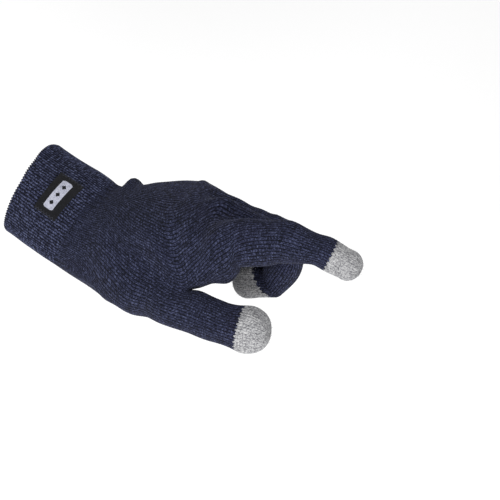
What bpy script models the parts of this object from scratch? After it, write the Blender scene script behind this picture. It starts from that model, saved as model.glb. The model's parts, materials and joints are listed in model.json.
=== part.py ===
"""Left touchscreen glove of navy knit with grey fingertips, hollow, in the pose of a pointing hand.

World frame: origin at the centre of the cuff's opening, +X along the cuff towards the hand, +Y towards
the little finger, +Z towards the back of the hand. The model is in metres, the dimensions here in
millimetres and degrees. In each tube's own frame +X runs along the bone and +Z is the back side.
"""

from math import cos, pi, radians, sin, tan

import bmesh
import bpy
from mathutils import Matrix, Vector

MM = 0.001
GAP = 0.3  # clearance between neighbouring pieces
WALL = 1.6  # thickness of the knit

# Cuff
CUFF_LENGTH = 55.0
CUFF_HALF = (33.5, 25.5)  # half width and half height at the opening
WRIST_HALF = (32.0, 24.0)
CUFF_SIDES = 48
EDGE_DEPTH = 2.4  # overlocked edge, along the cuff
EDGE_PROUD = 0.5  # how far it stands out from the cuff on both sides
EDGE_CHAMFER = 0.6

# Label on the back of the cuff, on the thumb's side
LABEL_MIDDLE = 27.0  # distance from the opening
LABEL_AROUND = 99.0  # its middle, as an angle round the cuff from +Y towards +Z
LABEL_LENGTH = 17.0  # along the cuff
LABEL_WIDTH = 28.0  # round the cuff
LABEL_THICK = 0.7
MOTIF_CELL = 1.5
MOTIF_COLUMNS = 13
MOTIF_ROWS = 5
MOTIF_THICK = 0.4
STITCH_RADIUS = 0.25
STITCH_MARGIN = 1.2  # from the label's end
STITCH_ZIGZAG = 0.5
STITCH_COUNT = 10

# Wrist: the hand turns towards the little finger, bends back and rolls, as seen from the cuff
HAND_YAW, HAND_PITCH, HAND_ROLL = 33.0, -29.0, -34.0
WRIST_BLEND = 26.0  # length over which the palm turns from the cuff's direction to the hand's
WRIST_TILT = 28.0  # the wrist's axis lies across the cuff, this far below +Y
WRIST_RELIEF = (20.0, 20.0)  # how far each end is cut back, below and above the wrist's axis

# Palm
PALM_SIDES = 40
PALM_ROWS = 12
PALM_HALF = (41.5, 16.0)  # at the knuckles
PALM_OFFSET = 3.5  # the knuckles' middle lies this far towards the little finger
WIDEST_AT = 55.0
THINNEST_AT = 76.0
KNUCKLE_REACH = 82.0  # the furthest knuckle, from the wrist
KNUCKLE_CURVE = 0.0085  # how the knuckles fall back, per square millimetre from the furthest
KNUCKLE_MIDDLE = -5.0
KNUCKLE_MARGIN = 2.0

# Joint reliefs: how far each end is cut back on the palm side and on the back side
PALM_RELIEF = (35.0, 8.0)
KNUCKLE_RELIEF = (50.0, 8.0)
MIDDLE_RELIEF = (54.5, 2.0)
END_RELIEF = (34.0, 2.0)
THUMB_RELIEF = (25.0, 6.0)
THUMB_END_RELIEF = (31.0, 4.0)

FINGER_SIDES = 20
TIP_ROWS = 5

# Per finger: the knuckle's place across the hand and above it, the spread, the bends at knuckle, middle
# and end joint, the lengths from joint to joint to tip, and half width and half height at each
FINGERS = {
    "index": {
        "across": -27.0,
        "above": 1.0,
        "spread": 0.0,
        "bends": (13.5, 16.5, 14.0),
        "lengths": (45.0, 24.5, 23.5),
        "halves": ((10.8, 12.0), (10.5, 10.8), (9.2, 9.2), (9.0, 9.0)),
    },
    "middle": {
        "across": -5.0,
        "above": 4.0,
        "spread": 0.0,
        "bends": (33.5, 103.0, 53.5),
        "lengths": (47.0, 28.0, 24.0),
        "halves": ((10.4, 12.0), (10.4, 11.0), (9.3, 9.3), (9.2, 9.2)),
    },
    "ring": {
        "across": 15.8,
        "above": 2.0,
        "spread": 3.0,
        "bends": (37.5, 103.0, 53.5),
        "lengths": (44.0, 27.0, 25.0),
        "halves": ((10.0, 11.5), (10.0, 10.5), (9.0, 9.0), (8.6, 8.6)),
    },
    "little": {
        "across": 35.5,
        "above": -4.0,
        "spread": 8.0,
        "bends": (39.5, 103.0, 53.5),
        "lengths": (34.0, 21.0, 22.0),
        "halves": ((9.3, 10.5), (9.2, 9.5), (8.3, 8.3), (7.8, 7.8)),
    },
}

# Thumb: where its metacarpal starts in the hand, its direction and roll, then its two bends
THUMB_START = (16.0, -20.0, -8.0)
THUMB_OUT, THUMB_DOWN, THUMB_ROLL = 28.5, 30.5, 103.5
THUMB_BENDS = (14.5, 9.0)
THUMB_LENGTHS = (46.0, 34.0, 29.0)
THUMB_HALVES = ((15.0, 15.0), (13.5, 13.5), (12.0, 12.0), (13.2, 12.6))
THUMB_SIDES = 24

NAVY = (0.036, 0.040, 0.092)
GREY = (0.42, 0.42, 0.43)
BLACK = (0.012, 0.012, 0.014)
OFF_WHITE = (0.62, 0.62, 0.60)


def clear_scene():
    for thing in list(bpy.data.objects):
        bpy.data.objects.remove(thing, do_unlink=True)


def turn(axis, degrees):
    return Matrix.Rotation(radians(degrees), 4, axis)


def smooth(t):
    t = min(max(t, 0.0), 1.0)
    return t * t * (3 - 2 * t)


def mix(a, b, t):
    return a + (b - a) * t


# Frames of the hand, the fingers and the thumb


def hand_frame():
    place = Matrix.Translation((CUFF_LENGTH, 0, 0))
    return place @ turn("Z", HAND_YAW) @ turn("Y", HAND_PITCH) @ turn("X", HAND_ROLL)


def chain(start, bends, lengths):
    """The frame at each joint, with +X along the piece that follows it."""
    frames = []
    frame = start
    for bend, length in zip(bends, lengths):
        frame = frame @ turn("Y", bend)
        frames.append(frame)
        frame = frame @ Matrix.Translation((length, 0, 0))
    return frames


def knuckle_reach(across):
    return KNUCKLE_REACH - KNUCKLE_CURVE * (across - KNUCKLE_MIDDLE) ** 2


def finger_frames(finger):
    place = Vector((knuckle_reach(finger["across"]), finger["across"], finger["above"]))
    start = hand_frame() @ Matrix.Translation(place) @ turn("Z", finger["spread"])
    return chain(start, finger["bends"], finger["lengths"])


def thumb_frames():
    """The frames of the metacarpal, which the palm covers, and of the thumb's two tubes."""
    start = hand_frame() @ Matrix.Translation(THUMB_START)
    start = start @ turn("Z", -THUMB_OUT) @ turn("Y", THUMB_DOWN) @ turn("X", THUMB_ROLL)
    return chain(start, (0.0, *THUMB_BENDS), THUMB_LENGTHS)


# Materials and meshes


def material(name, colour, roughness):
    made = bpy.data.materials.new(name)
    made.use_nodes = True
    shader = made.node_tree.nodes["Principled BSDF"]
    shader.inputs["Base Color"].default_value = (*colour, 1)
    shader.inputs["Roughness"].default_value = roughness
    shader.inputs["Metallic"].default_value = 0.0
    return made


def add_object(name, points, faces, colour, origin=None):
    """An object from points in millimetres, with its own origin where it turns on a joint."""
    place = Vector(origin) if origin is not None else Vector((0, 0, 0))
    mesh = bpy.data.meshes.new(name)
    mesh.from_pydata([(Vector(p) - place) * MM for p in points], [], faces)
    shape = bmesh.new()
    shape.from_mesh(mesh)
    bmesh.ops.recalc_face_normals(shape, faces=shape.faces)
    shape.to_mesh(mesh)
    shape.free()
    mesh.shade_smooth()
    mesh.set_sharp_from_angle(angle=radians(35))
    made = bpy.data.objects.new(name, mesh)
    made.location = place * MM
    made.data.materials.append(material(name, colour, 0.85))
    bpy.context.scene.collection.objects.link(made)
    return made


def band(first, second, sides):
    """Quads between two rings, given by the index of their first points."""
    around = range(sides)
    return [
        (first + i, first + (i + 1) % sides, second + (i + 1) % sides, second + i) for i in around
    ]


def closed_tube(rings):
    """Points and faces of a ring of rings: the last ring joins the first."""
    sides = len(rings[0])
    points = [p for ring in rings for p in ring]
    faces = []
    for i in range(len(rings)):
        after = (i + 1) % len(rings)
        faces += band(i * sides, after * sides, sides)
    return points, faces


def capped_tube(rings):
    """Points and faces of a solid: flat or dished caps close both ends."""
    sides = len(rings[0])
    points = [p for ring in rings for p in ring]
    faces = []
    for i in range(len(rings) - 1):
        faces += band(i * sides, (i + 1) * sides, sides)
    for first in (0, (len(rings) - 1) * sides):
        centre = sum((Vector(p) for p in points[first : first + sides]), Vector()) / sides
        points.append(centre)
        hub = len(points) - 1
        faces += [(first + i, first + (i + 1) % sides, hub) for i in range(sides)]
    return points, faces


# Tubes of the fingers and the thumb


def cut_back(height, relief):
    """How far an end is cut back at this height above the joint's axis."""
    palm_side, back_side = relief
    angle = back_side if height > 0 else palm_side
    return GAP / 2 + abs(height) * tan(radians(angle))


def tube_ring(frame, half, inset, sides, along):
    """A ring in a tube's frame; along gives the place along the tube at each height."""
    ring = []
    for i in range(sides):
        angle = 2 * pi * i / sides
        y = (half[0] - inset) * cos(angle)
        z = (half[1] - inset) * sin(angle)
        ring.append(frame @ Vector((along(z), y, z)))
    return ring


def between(first, second, t):
    return [mix(a, b, t) for a, b in zip(first, second)]


def tube_rings(frame, length, halves, reliefs, inset, sides, rows=2):
    """Rings from one joint to the next, each end cut back for its joint."""
    start = tube_ring(frame, halves[0], inset, sides, lambda z: cut_back(z, reliefs[0]))
    end = tube_ring(frame, halves[1], inset, sides, lambda z: length - cut_back(z, reliefs[1]))
    return [between(start, end, i / rows) for i in range(rows + 1)]


def add_tube(name, frame, length, halves, reliefs, colour, sides=FINGER_SIDES):
    outside = tube_rings(frame, length, halves, reliefs, 0, sides)
    inside = tube_rings(frame, length, halves, reliefs, WALL, sides)
    points, faces = closed_tube(outside + inside[::-1])
    return add_object(name, points, faces, colour, frame.translation)


def tip_rings(frame, length, halves, relief, inset, sides):
    """Rings of a thimble: a short tube, then a dome that closes at the tip."""
    radius = halves[1][1]
    shoulder = length - radius
    start = tube_ring(frame, halves[0], inset, sides, lambda z: cut_back(z, relief))
    rings = [start]
    for i in range(TIP_ROWS):
        angle = pi / 2 * i / TIP_ROWS
        half = [(h - inset) * cos(angle) for h in halves[1]]
        along = shoulder + (radius - inset) * sin(angle)
        rings.append(tube_ring(frame, half, 0, sides, lambda z, x=along: x))
    return rings, frame @ Vector((length - inset, 0, 0))


def add_tip(name, frame, length, halves, relief, colour, sides=FINGER_SIDES):
    outside, outside_pole = tip_rings(frame, length, halves, relief, 0, sides)
    inside, inside_pole = tip_rings(frame, length, halves, relief, WALL, sides)
    rings = outside[::-1] + inside
    points = [p for ring in rings for p in ring]
    faces = []
    for i in range(len(rings) - 1):
        faces += band(i * sides, (i + 1) * sides, sides)
    for first, pole in ((0, outside_pole), ((len(rings) - 1) * sides, inside_pole)):
        points.append(pole)
        hub = len(points) - 1
        faces += [(first + i, first + (i + 1) % sides, hub) for i in range(sides)]
    return add_object(name, points, faces, colour, frame.translation)


def add_finger(name, finger, tip_colour):
    frames = finger_frames(finger)
    lengths, halves = finger["lengths"], finger["halves"]
    root = (KNUCKLE_RELIEF, MIDDLE_RELIEF)
    add_tube(f"{name}_root", frames[0], lengths[0], halves[0:2], root, NAVY)
    add_tube(f"{name}_middle", frames[1], lengths[1], halves[1:3], (MIDDLE_RELIEF, END_RELIEF), NAVY)
    add_tip(f"{name}_tip", frames[2], lengths[2], halves[2:4], END_RELIEF, tip_colour)


def add_thumb():
    _, root, end = thumb_frames()
    reliefs = (THUMB_RELIEF, THUMB_END_RELIEF)
    add_tube("thumb_root", root, THUMB_LENGTHS[1], THUMB_HALVES[1:3], reliefs, NAVY, THUMB_SIDES)
    add_tip("thumb_tip", end, THUMB_LENGTHS[2], THUMB_HALVES[2:4], THUMB_END_RELIEF, GREY, THUMB_SIDES)


# Palm


def wrist_relief(y, z):
    height = y * sin(radians(WRIST_TILT)) + z * cos(radians(WRIST_TILT))
    return cut_back(height, WRIST_RELIEF)


def palm_section(reach, angle, inset):
    """Where a column crosses the palm's section at this distance from the wrist."""
    widening = smooth(reach / WIDEST_AT)
    half_width = mix(WRIST_HALF[0], PALM_HALF[0], widening) - inset
    half_height = mix(WRIST_HALF[1], PALM_HALF[1], smooth(reach / THINNEST_AT)) - inset
    offset = PALM_OFFSET * widening
    return offset + half_width * cos(angle), half_height * sin(angle)


def palm_point(reach, angle, inset):
    """The palm follows the cuff's direction at the wrist and the hand's from WRIST_BLEND on."""
    y, z = palm_section(reach, angle, inset)
    beside_cuff = Vector((CUFF_LENGTH + reach, y, z))
    beside_hand = hand_frame() @ Vector((reach, y, z))
    return mix(beside_cuff, beside_hand, smooth(reach / WRIST_BLEND))


def palm_end(angle, inset):
    """How far a column reaches: short of every finger that starts near it."""
    y, z = palm_section(KNUCKLE_REACH, angle, inset)
    ends = []
    for finger in FINGERS.values():
        if abs(y - finger["across"]) < finger["halves"][0][0] + KNUCKLE_MARGIN:
            slant = finger["halves"][0][0] * sin(radians(finger["spread"]))
            reach = knuckle_reach(finger["across"]) - slant
            ends.append(reach - cut_back(z - finger["above"], PALM_RELIEF))
    return min(ends)


def palm_rings(inset, beyond):
    """Rings from the wrist to the knuckles, each end run on by the length beyond."""
    columns = [2 * pi * i / PALM_SIDES for i in range(PALM_SIDES)]
    starts = [wrist_relief(*palm_section(0, a, inset)) - beyond for a in columns]
    ends = [palm_end(a, inset) + beyond for a in columns]
    rings = []
    for row in range(PALM_ROWS + 1):
        t = row / PALM_ROWS
        rings.append([palm_point(mix(s, e, t), a, inset) for s, e, a in zip(starts, ends, columns)])
    return rings


def thumb_base_rings(inset, beyond):
    """The palm's branch over the thumb's metacarpal, from inside the palm to the thumb's tube."""
    frame, length = thumb_frames()[0], THUMB_LENGTHS[0]
    inner_end = tube_ring(frame, THUMB_HALVES[0], inset, THUMB_SIDES, lambda z: 0.0)
    outer_end = tube_ring(
        frame,
        THUMB_HALVES[1],
        inset,
        THUMB_SIDES,
        lambda z: length - cut_back(z, THUMB_RELIEF) + beyond,
    )
    return [between(inner_end, outer_end, i / 3) for i in range(4)]


def add_guide(name, rings):
    points, faces = capped_tube(rings)
    guide = add_object(name, points, faces, NAVY)
    guide.hide_render = True
    guide.display_type = "WIRE"
    return guide


def join_or_cut(target, tool, operation):
    step = target.modifiers.new(tool.name, "BOOLEAN")
    step.operation = operation
    step.solver = "EXACT"
    step.object = tool


def add_palm():
    points, faces = capped_tube(palm_rings(0, 0))
    palm = add_object("palm", points, faces, NAVY)
    join_or_cut(palm, add_guide("thumb_base_outside", thumb_base_rings(0, 0)), "UNION")
    join_or_cut(palm, add_guide("palm_inside", palm_rings(WALL, 3.0)), "DIFFERENCE")
    join_or_cut(palm, add_guide("thumb_base_inside", thumb_base_rings(WALL, 3.0)), "DIFFERENCE")


# Cuff, its edge and its label


def cuff_half(x):
    t = x / CUFF_LENGTH
    return [mix(a, b, t) for a, b in zip(CUFF_HALF, WRIST_HALF)]


def cuff_ring(x, proud, relieved=False):
    """A ring of the cuff at x; proud is the distance outside the cuff's surface."""
    half_width, half_height = cuff_half(x)
    ring = []
    for i in range(CUFF_SIDES):
        angle = 2 * pi * i / CUFF_SIDES
        y = (half_width + proud) * cos(angle)
        z = (half_height + proud) * sin(angle)
        ring.append(Vector((x - wrist_relief(y, z) if relieved else x, y, z)))
    return ring


def add_cuff():
    start = EDGE_DEPTH + GAP
    rings = []
    for proud in (0, -WALL):
        first, last = cuff_ring(start, proud), cuff_ring(CUFF_LENGTH, proud, relieved=True)
        wall = [between(first, last, i / 3) for i in range(4)]
        rings += wall if proud == 0 else wall[::-1]
    points, faces = closed_tube(rings)
    add_object("cuff_rib", points, faces, NAVY)


def add_edge():
    outer, inner = EDGE_PROUD, -WALL - EDGE_PROUD
    near, far = 0.0, EDGE_DEPTH
    outline = [
        (near, outer - EDGE_CHAMFER),
        (near + EDGE_CHAMFER, outer),
        (far - EDGE_CHAMFER, outer),
        (far, outer - EDGE_CHAMFER),
        (far, inner + EDGE_CHAMFER),
        (far - EDGE_CHAMFER, inner),
        (near + EDGE_CHAMFER, inner),
        (near, inner + EDGE_CHAMFER),
    ]
    points, faces = closed_tube([cuff_ring(x, proud) for x, proud in outline])
    add_object("cuff_edge", points, faces, NAVY)


def label_point(along, across, lift):
    """A point of the label: along the cuff, round it, and above its surface."""
    x = LABEL_MIDDLE + along
    half_width, half_height = cuff_half(x)
    middle = radians(LABEL_AROUND)
    speed = ((half_width * sin(middle)) ** 2 + (half_height * cos(middle)) ** 2) ** 0.5
    angle = middle + across / speed
    normal = Vector((0, cos(angle) / half_width, sin(angle) / half_height)).normalized()
    return Vector((x, half_width * cos(angle), half_height * sin(angle))) + normal * lift


def plate(name, cells, spacing, lifts, colour):
    """One solid from the cells of a grid, curved round the cuff. The cells are (column, row)."""
    columns = max(c for c, _ in cells) + 1
    rows = max(r for _, r in cells) + 1
    points, index, faces = [], {}, []

    def corner(column, row, level):
        key = (column, row, level)
        if key not in index:
            along = (row - rows / 2) * spacing[1]
            across = (column - columns / 2) * spacing[0]
            index[key] = len(points)
            points.append(label_point(along, across, lifts[level]))
        return index[key]

    for column, row in sorted(cells):
        around = [(column, row), (column + 1, row), (column + 1, row + 1), (column, row + 1)]
        for level in (0, 1):
            faces.append([corner(c, r, level) for c, r in around])
        beside = [(column, row - 1), (column + 1, row), (column, row + 1), (column - 1, row)]
        for i, neighbour in enumerate(beside):
            if neighbour not in cells:
                a, b = around[i], around[(i + 1) % 4]
                faces.append([corner(*a, 0), corner(*b, 0), corner(*b, 1), corner(*a, 1)])
    add_object(name, points, faces, colour)


def add_label():
    columns = 10
    cells = {(c, 0) for c in range(columns)}
    lifts = (2 * GAP, 2 * GAP + LABEL_THICK)
    plate("label", cells, (LABEL_WIDTH / columns, LABEL_LENGTH), lifts, BLACK)


def add_motif():
    """A plain woven bar with a row of diamond holes."""
    middle_row = MOTIF_ROWS // 2
    holes = range(2, MOTIF_COLUMNS, 4)
    cells = set()
    for column in range(MOTIF_COLUMNS):
        for row in range(MOTIF_ROWS):
            if min(abs(column - h) + abs(row - middle_row) for h in holes) > 1:
                cells.add((column, row))
    lift = 3 * GAP + LABEL_THICK
    plate("label_motif", cells, (MOTIF_CELL, MOTIF_CELL), (lift, lift + MOTIF_THICK), OFF_WHITE)


def add_stitch_row(name, side):
    """One sewn thread that runs in a zigzag along an end of the label."""
    across = side * (LABEL_WIDTH / 2 - STITCH_MARGIN)
    lift = 3 * GAP + LABEL_THICK + STITCH_RADIUS
    reach = LABEL_LENGTH / 2 - STITCH_MARGIN
    curve = bpy.data.curves.new(name, "CURVE")
    curve.dimensions = "3D"
    curve.bevel_depth = STITCH_RADIUS * MM
    curve.bevel_resolution = 1
    curve.use_fill_caps = True
    thread = curve.splines.new("POLY")
    thread.points.add(STITCH_COUNT)
    for i, point in enumerate(thread.points):
        along = mix(-reach, reach, i / STITCH_COUNT)
        sideways = STITCH_ZIGZAG * (1 if i % 2 else -1)
        point.co = (*label_point(along, across + sideways, lift) * MM, 1)
    made = bpy.data.objects.new(name, curve)
    curve.materials.append(material(name, BLACK, 0.6))
    bpy.context.scene.collection.objects.link(made)


def build():
    clear_scene()
    add_cuff()
    add_edge()
    add_label()
    add_motif()
    add_stitch_row("label_stitch_thumb_side", 1)
    add_stitch_row("label_stitch_little_side", -1)
    add_palm()
    add_thumb()
    for name, finger in FINGERS.items():
        add_finger(name, finger, GREY if name in ("index", "middle") else NAVY)


build()
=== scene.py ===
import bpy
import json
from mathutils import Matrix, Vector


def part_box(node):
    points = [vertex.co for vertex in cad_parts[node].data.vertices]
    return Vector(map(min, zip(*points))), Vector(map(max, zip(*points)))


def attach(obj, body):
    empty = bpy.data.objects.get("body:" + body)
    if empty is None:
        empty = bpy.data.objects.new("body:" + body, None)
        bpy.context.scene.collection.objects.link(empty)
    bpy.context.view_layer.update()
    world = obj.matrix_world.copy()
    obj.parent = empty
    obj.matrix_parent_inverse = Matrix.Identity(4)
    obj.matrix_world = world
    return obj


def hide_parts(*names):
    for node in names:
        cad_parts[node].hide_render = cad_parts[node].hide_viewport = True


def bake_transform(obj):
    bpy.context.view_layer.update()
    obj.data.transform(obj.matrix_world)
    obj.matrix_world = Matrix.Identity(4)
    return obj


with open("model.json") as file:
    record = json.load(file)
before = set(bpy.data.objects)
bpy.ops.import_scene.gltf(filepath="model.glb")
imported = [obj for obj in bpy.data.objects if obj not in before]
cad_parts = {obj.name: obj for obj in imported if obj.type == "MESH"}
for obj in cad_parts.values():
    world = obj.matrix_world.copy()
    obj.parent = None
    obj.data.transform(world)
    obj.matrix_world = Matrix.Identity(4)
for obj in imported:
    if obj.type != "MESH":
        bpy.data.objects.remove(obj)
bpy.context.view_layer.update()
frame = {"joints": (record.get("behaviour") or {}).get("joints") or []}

import json
import math

import bpy
import numpy as np
from mathutils import Matrix, Vector

MM = 0.001  # everything below is in millimetres until a mesh is made
LEVELS = 4  # subdivisions of the cage
STEPS = 2 ** LEVELS
WALES = 6  # columns of stitches in one column of the cage
# Columns of stitches in each column of the cage: round the arm, the hand, the thumb and a finger.
ARM_WALES = (7, 7) + (WALES,) * 15 + (7, 7, 7, 7, 8)
HAND_WALES = ARM_WALES[:17] + (WALES,)
THUMB_WALES = ARM_WALES[17:] + (WALES,)

CUFF_RIB = 5 / 7  # ribs of the cuff in one column of stitches
SAMPLES = 4  # mesh columns in one column of stitches
COURSE = 1.7  # length of a stitch
ROW_STEP = 0.68  # mesh rows, along the knit

# The cuff and the palm, as the part has them.
CUFF_HALF = (33.5, 25.5)
WRIST_HALF = (32.0, 24.0)
CUFF_LENGTH = 55.0
HAND_YAW, HAND_PITCH, HAND_ROLL = 33.0, -29.0, -34.0
PALM_HALF = (41.5, 16.0)
PALM_OFFSET = 3.5
WIDEST_AT, THINNEST_AT = 55.0, 76.0
PALM_LIFT = 3.0  # how much fuller the back of the hand is than the part's oval
PALM_LIFT_FROM = 30.0  # and from what distance from the wrist
SQUARENESS = 0.12  # how much flatter the hand's section is than an oval
SPREAD_BY = 60.0  # the distance from the wrist at which the columns lie as on the knuckles
KNUCKLE_Y = (-37.5, -27, -16, -5, 5.4, 15.8, 25.6, 35.5, 43.2)
SIDE_COSINE = 0.955  # the outermost columns lie this far towards the sides

# By finger: lengths of the root and the tip; bend of the end joint; where the root's rings lie; how many rings go round
# the middle joint; where the tip's rings begin; cage rows of the base; how far past the knuckle and either side of the
# middle joint the blends reach; half widths and half heights at the knuckle, the joints and the tip.
CURLED = {"end_bend": 53.5, "root_rings": (20, 27), "bend_rings": 7, "tip_from": 8.5, "base_rows": 2.0,
          "base_blend": 29, "bend_blend": 13.0}
FINGERS = {
    "index": {"root": 45, "tip": 23.5, "end_bend": 10, "root_rings": (20, 29), "bend_rings": 3, "tip_from": 12.0,
              "base_rows": 2.5, "base_blend": 29, "bend_blend": 11.0,
              "halves": ((10.8, 12), (10.5, 11.2), (9.1, 9.1), (8.5, 8.0))},
    "middle": {**CURLED, "root": 47, "tip": 22.5, "halves": ((10.4, 12), (10.4, 8.8), (9.3, 8.8), (9.2, 9.4))},
    "ring": {**CURLED, "root": 44, "tip": 25, "halves": ((10, 11.5), (10, 9.0), (9, 9), (8.6, 8.6))},
    "little": {**CURLED, "root": 34, "tip": 22, "root_rings": (21,), "base_rows": 1.5, "base_blend": 24,
               "halves": ((9.3, 10.5), (9.2, 8.3), (8.3, 8.3), (7.8, 7.8))},
}
CAPS = {"index": 25, "middle": 23, "thumb": 25.9}  # lengths of the grey fingertips
CAP_SLANT = {"middle": 4.5}  # the cap reaches this much further on the side away from the little finger

THUMB_START = (16.0, -20.0, -8.0)
THUMB_LENGTHS = (46.0, 34.0, 28.0)
THUMB_HALVES = (12.4, 11.5, 13.2)  # at its knuckle, its end joint and its tip
THUMB_END_BEND = 9.0

JOINTS = {j["name"]: j for j in frame["joints"]}


def place(joint):
    return np.array(JOINTS[joint]["pos_m"]) / MM


def axis_of(joint):
    a = np.array(JOINTS[joint]["axis"])
    return a / np.linalg.norm(a)


def unit(v):
    return v / np.linalg.norm(v)


def smooth(t):
    t = min(1.0, max(0.0, t))
    return t * t * (3 - 2 * t)


def mix(a, b, t):
    return a + (b - a) * t


def lengths(points):
    """Distance along a line of points, from its start."""
    return np.concatenate([[0], np.cumsum(np.linalg.norm(np.diff(points, axis=0), axis=1))])


def add_object(name, data):
    thing = bpy.data.objects.new(name, data)
    bpy.context.scene.collection.objects.link(thing)
    return thing


def rotated(v, axis, degrees):
    t = math.radians(degrees)
    return v * math.cos(t) + np.cross(axis, v) * math.sin(t) + axis * (axis @ v) * (1 - math.cos(t))


def hand_frame():
    m = Matrix.Translation((CUFF_LENGTH, 0, 0))
    for axis, degrees in (("Z", HAND_YAW), ("Y", HAND_PITCH), ("X", HAND_ROLL)):
        m = m @ Matrix.Rotation(math.radians(degrees), 4, axis)
    return np.array(m)


HAND = hand_frame()


def in_hand(x, y, z):
    return HAND[:3, :3] @ np.array((x, y, z), float) + HAND[:3, 3]


def oval_angles():
    """Angles round the cuff, at equal steps of its girth, by column of stitches from the little finger's side."""
    t = np.linspace(0, 2 * math.pi, 2001)
    p = np.stack([CUFF_HALF[0] * np.cos(t), CUFF_HALF[1] * np.sin(t)], 1)
    s = lengths(p)
    return lambda wale: float(np.interp((wale % sum(ARM_WALES)) / sum(ARM_WALES) * s[-1], s, t))


OVAL = oval_angles()
SHIFT = 7  # the columns of stitches start this far round towards the little finger on the cuff
UNTWIST = math.radians(28)  # and keep their own way in space while the hand turns


def cuff_angle(wale):
    """Angle on the cuff, steady from -180 to 180 degrees and beyond."""
    turns = math.floor((wale - SHIFT) / sum(ARM_WALES))
    return OVAL(wale - SHIFT) + 2 * math.pi * turns


TOP = [cuff_angle(WALES / 2 + sum(ARM_WALES[k:8])) for k in range(9)]
BOTTOM = [cuff_angle(-WALES / 2 - sum(ARM_WALES[9:17 - k])) for k in range(9)]
SIDE = [cuff_angle(-WALES / 2 - sum(ARM_WALES[9:18 + k])) + 2 * math.pi for k in range(4)]  # the thumb's four

SPINE_FROM, SPINE_TO = -14.0, 34.0  # where the wrist's bend begins and ends, from the wrist
CUFF_SHIFT = np.array((0.0, 2.2, 1.4))  # the knit hangs this far off the part's cuff
CUFF_SHRINK = 0.97


def spine(reach):
    """Share of the wrist's bend that is over at a distance from the wrist."""
    return (reach - SPINE_FROM) / (SPINE_TO - SPINE_FROM)


def section_frame(reach):
    """Middle and directions (along, across, up) of the knit's section at a distance from the wrist."""
    if reach >= SPINE_TO:
        return in_hand(reach, 0, 0), HAND[:3, :3]
    t = spine(reach)
    start = np.array((CUFF_LENGTH + SPINE_FROM, 0, 0)) + CUFF_SHIFT
    end = in_hand(SPINE_TO, 0, 0)
    pull = np.linalg.norm(end - start)
    h00, h10 = 2 * t ** 3 - 3 * t ** 2 + 1, t ** 3 - 2 * t ** 2 + t
    h01, h11 = 1 - h00, t ** 3 - t ** 2
    middle = h00 * start + h10 * pull * np.array((1, 0, 0)) + h01 * end + h11 * pull * HAND[:3, 0]
    turn = Matrix(HAND[:3, :3].tolist()).to_quaternion()
    frame_now = Matrix.Identity(3).to_quaternion().slerp(turn, smooth(t))
    return middle, np.array(frame_now.to_matrix())


def palm_point(reach, angle):
    w = smooth(reach / WIDEST_AT)
    half = (mix(WRIST_HALF[0] * CUFF_SHRINK, PALM_HALF[0], w),
            mix(WRIST_HALF[1] * CUFF_SHRINK, PALM_HALF[1], smooth(reach / THINNEST_AT)))
    c, s = math.cos(angle), math.sin(angle)
    power = 1.0 - SQUARENESS * w
    y = PALM_OFFSET * w + half[0] * math.copysign(abs(c) ** power, c)
    z = half[1] * math.copysign(abs(s) ** power, s)
    if z > 0:
        z += PALM_LIFT * smooth(reach / PALM_LIFT_FROM) * abs(s)
    middle, frame_here = section_frame(reach)
    return middle + frame_here[:, 1] * y + frame_here[:, 2] * z


def knuckle_angle(k, top):
    c = max(-SIDE_COSINE, min(SIDE_COSINE, (KNUCKLE_Y[k] - PALM_OFFSET) / PALM_HALF[0]))
    return math.acos(c) * (1 if top else -1)


def ring_angle(k, reach, top):
    """Angle of a column on the back or the palm at a distance from the wrist."""
    start = (TOP if top else BOTTOM)[k] + UNTWIST * smooth(spine(reach))
    return mix(start, knuckle_angle(k, top), smooth(reach / SPREAD_BY))


# --- the cage ---

targets = []
regions = {}  # name: list of rings of vertex numbers


def vertex(p):
    targets.append(np.array(p, float))
    return len(targets) - 1


CUFF_FULL = math.radians(48)  # the cuff is fuller towards this side near the wrist
CUFF_FULLER, FULLER_FROM, FULLER_OVER = 1.8, 12.0, 22.0  # by how much, from where and over what length
RIM_NARROWER, NARROWER_TO = 1.0, 20.0  # and it is narrower at the rim, up to here
RIM_TILT = (1.1, 5.9, math.radians(185))  # the opening's plane leans: mean, swing and where it is furthest in
RIM_OUT, TILT_TO = -2.2, 30.0  # but no further out than this, and up to here


def cuff_point(x, angle, proud=0.0):
    t = min(1.0, max(0.0, x / CUFF_LENGTH))
    lean = max(RIM_OUT, RIM_TILT[0] + RIM_TILT[1] * math.cos(angle - RIM_TILT[2])) * (1 - smooth(x / TILT_TO))
    proud = proud - RIM_NARROWER * (1 - smooth(x / NARROWER_TO))
    proud += CUFF_FULLER * smooth((x - FULLER_FROM) / FULLER_OVER) * max(0, math.cos(angle - CUFF_FULL))
    half = [mix(a, b, t) * CUFF_SHRINK + proud for a, b in zip(CUFF_HALF, WRIST_HALF)]
    return CUFF_SHIFT + np.array((x + lean, half[0] * math.cos(angle), half[1] * math.sin(angle)))


RING_ANGLES = TOP + BOTTOM[::-1] + SIDE


def thumb_chain():
    start = in_hand(*THUMB_START)
    first, second = place("thumb_root"), place("thumb_end")
    axis = axis_of("thumb_root")
    d0, d1 = unit(first - start), unit(second - first)
    sign = math.copysign(1, np.cross(d0, d1) @ axis)
    return start, first, second, d0, d1, rotated(d1, axis, sign * THUMB_END_BEND)


START, MCP, IP, TD0, TD1, TD2 = thumb_chain()
WEB_WAY = place("index_knuckle") - MCP  # from the thumb towards the index finger


def thumb_point(centre, along, radius, degrees):
    """A point round the thumb; 0 degrees faces the index finger and 90 the back of the hand."""
    g = unit(WEB_WAY - along * (WEB_WAY @ along))
    e = np.cross(along, g)
    if e @ HAND[:3, 2] < 0:
        e = -e
    t = math.radians(degrees)
    return centre + radius * (g * math.cos(t) + e * math.sin(t))


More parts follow.
